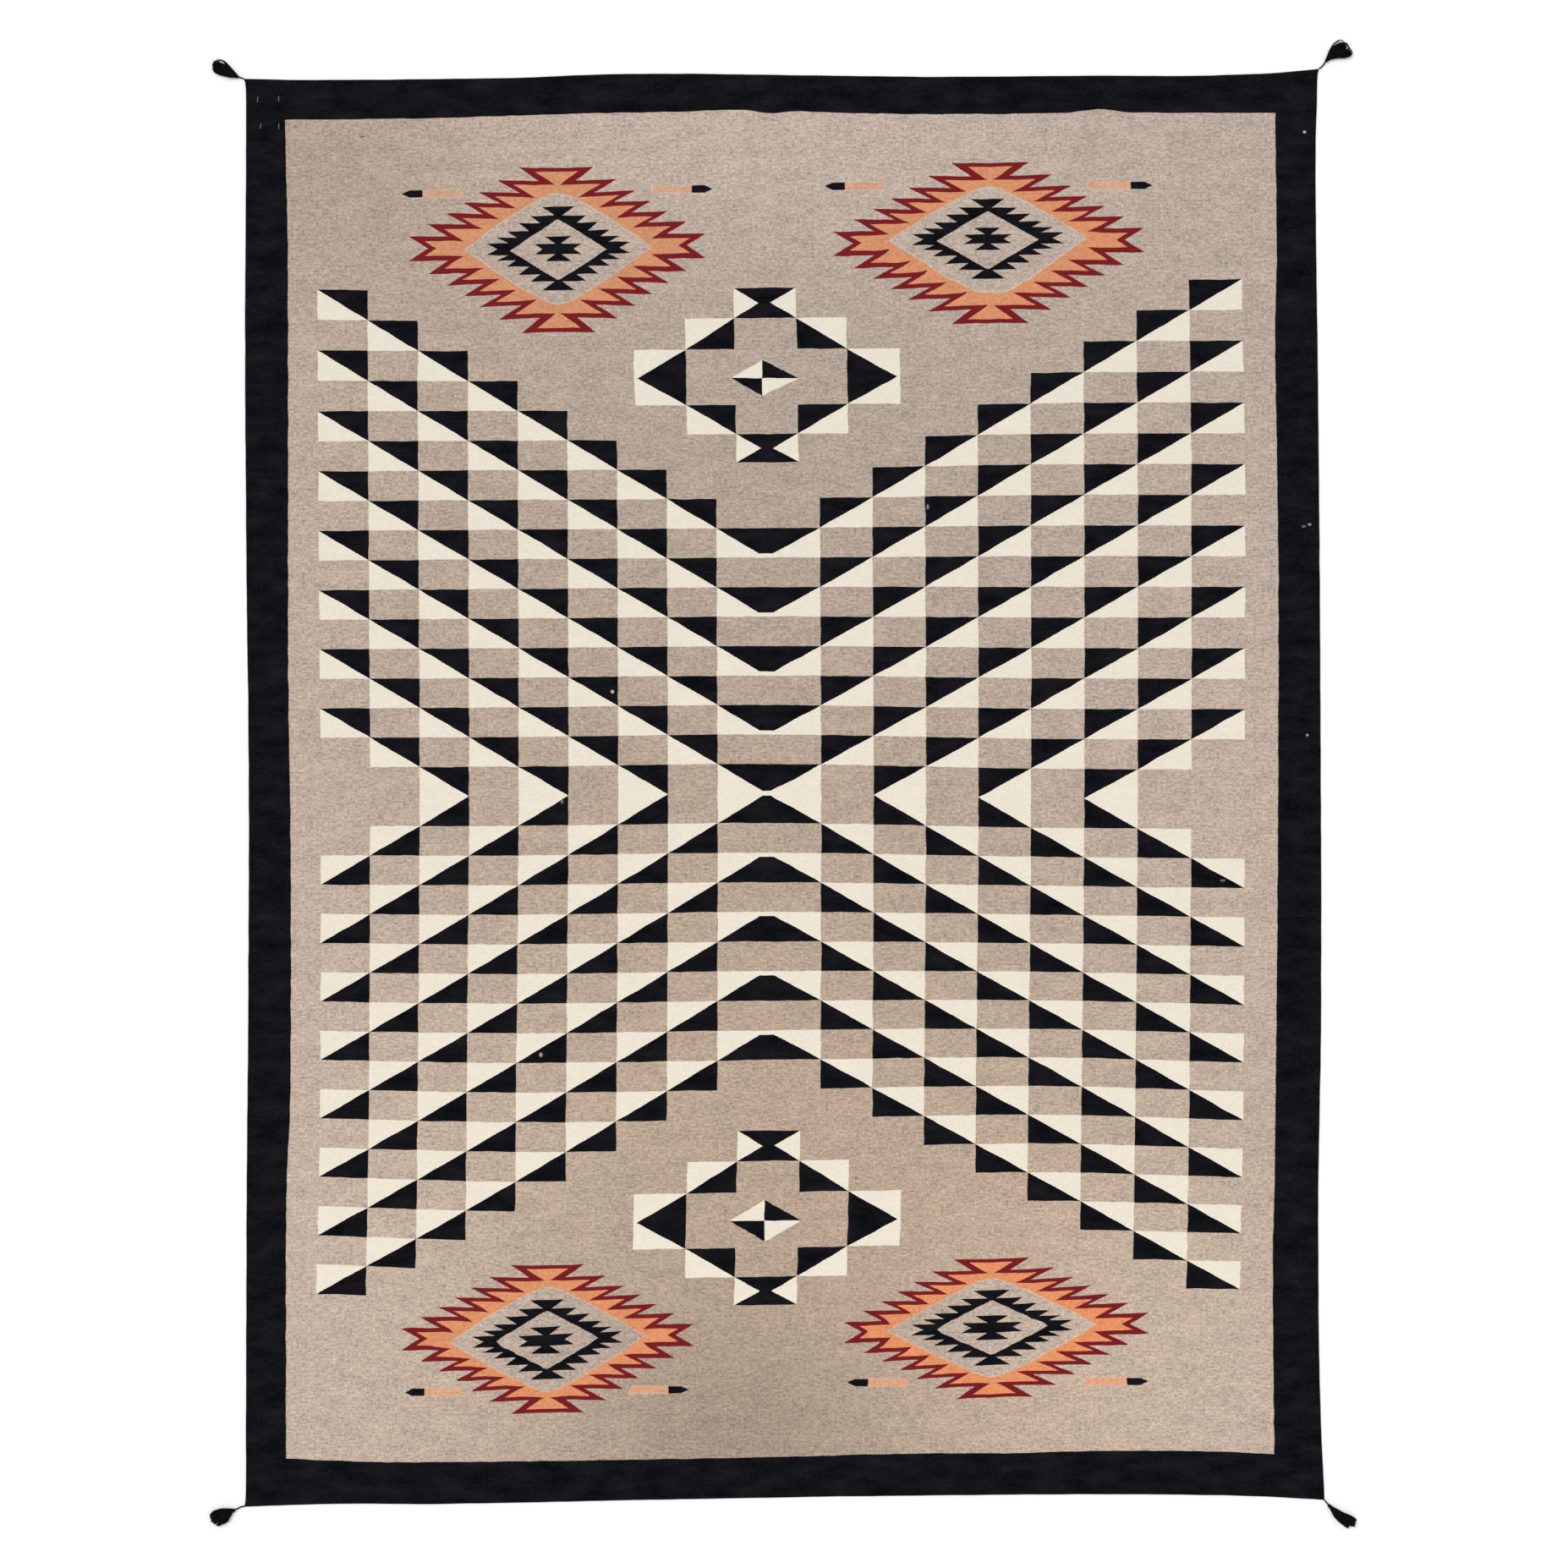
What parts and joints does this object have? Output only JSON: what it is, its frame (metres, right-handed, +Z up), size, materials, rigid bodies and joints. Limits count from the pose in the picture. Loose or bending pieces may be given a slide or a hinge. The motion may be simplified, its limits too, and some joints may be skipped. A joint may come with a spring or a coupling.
{
  "type": "flatweave rug",
  "caption": "Large rectangular flatweave wool rug lying flat, with stepped triangle pattern, plain dark border and a yarn tassel at each corner.",
  "frame": {"origin": "on the floor under the middle of the cloth", "axes": "+Y along the warp, the rug's length, towards the top end; +X across it towards the right selvedge; +Z up, out of the face"},
  "size_m": [2.9341, 3.8023, 0.0131],
  "materials": {
    "woven_wool": "matt weft-faced wool, heathered beige with black, cream, orange and dark red yarns",
    "black_yarn": "matt black wool yarn"
  },
  "bodies": {
    "root": {"woven_cloth": "woven_wool", "tassel_top_left": "black_yarn", "tassel_top_right": "black_yarn", "tassel_bottom_left": "black_yarn", "tassel_bottom_right": "black_yarn"}
  },
  "joints": []
}
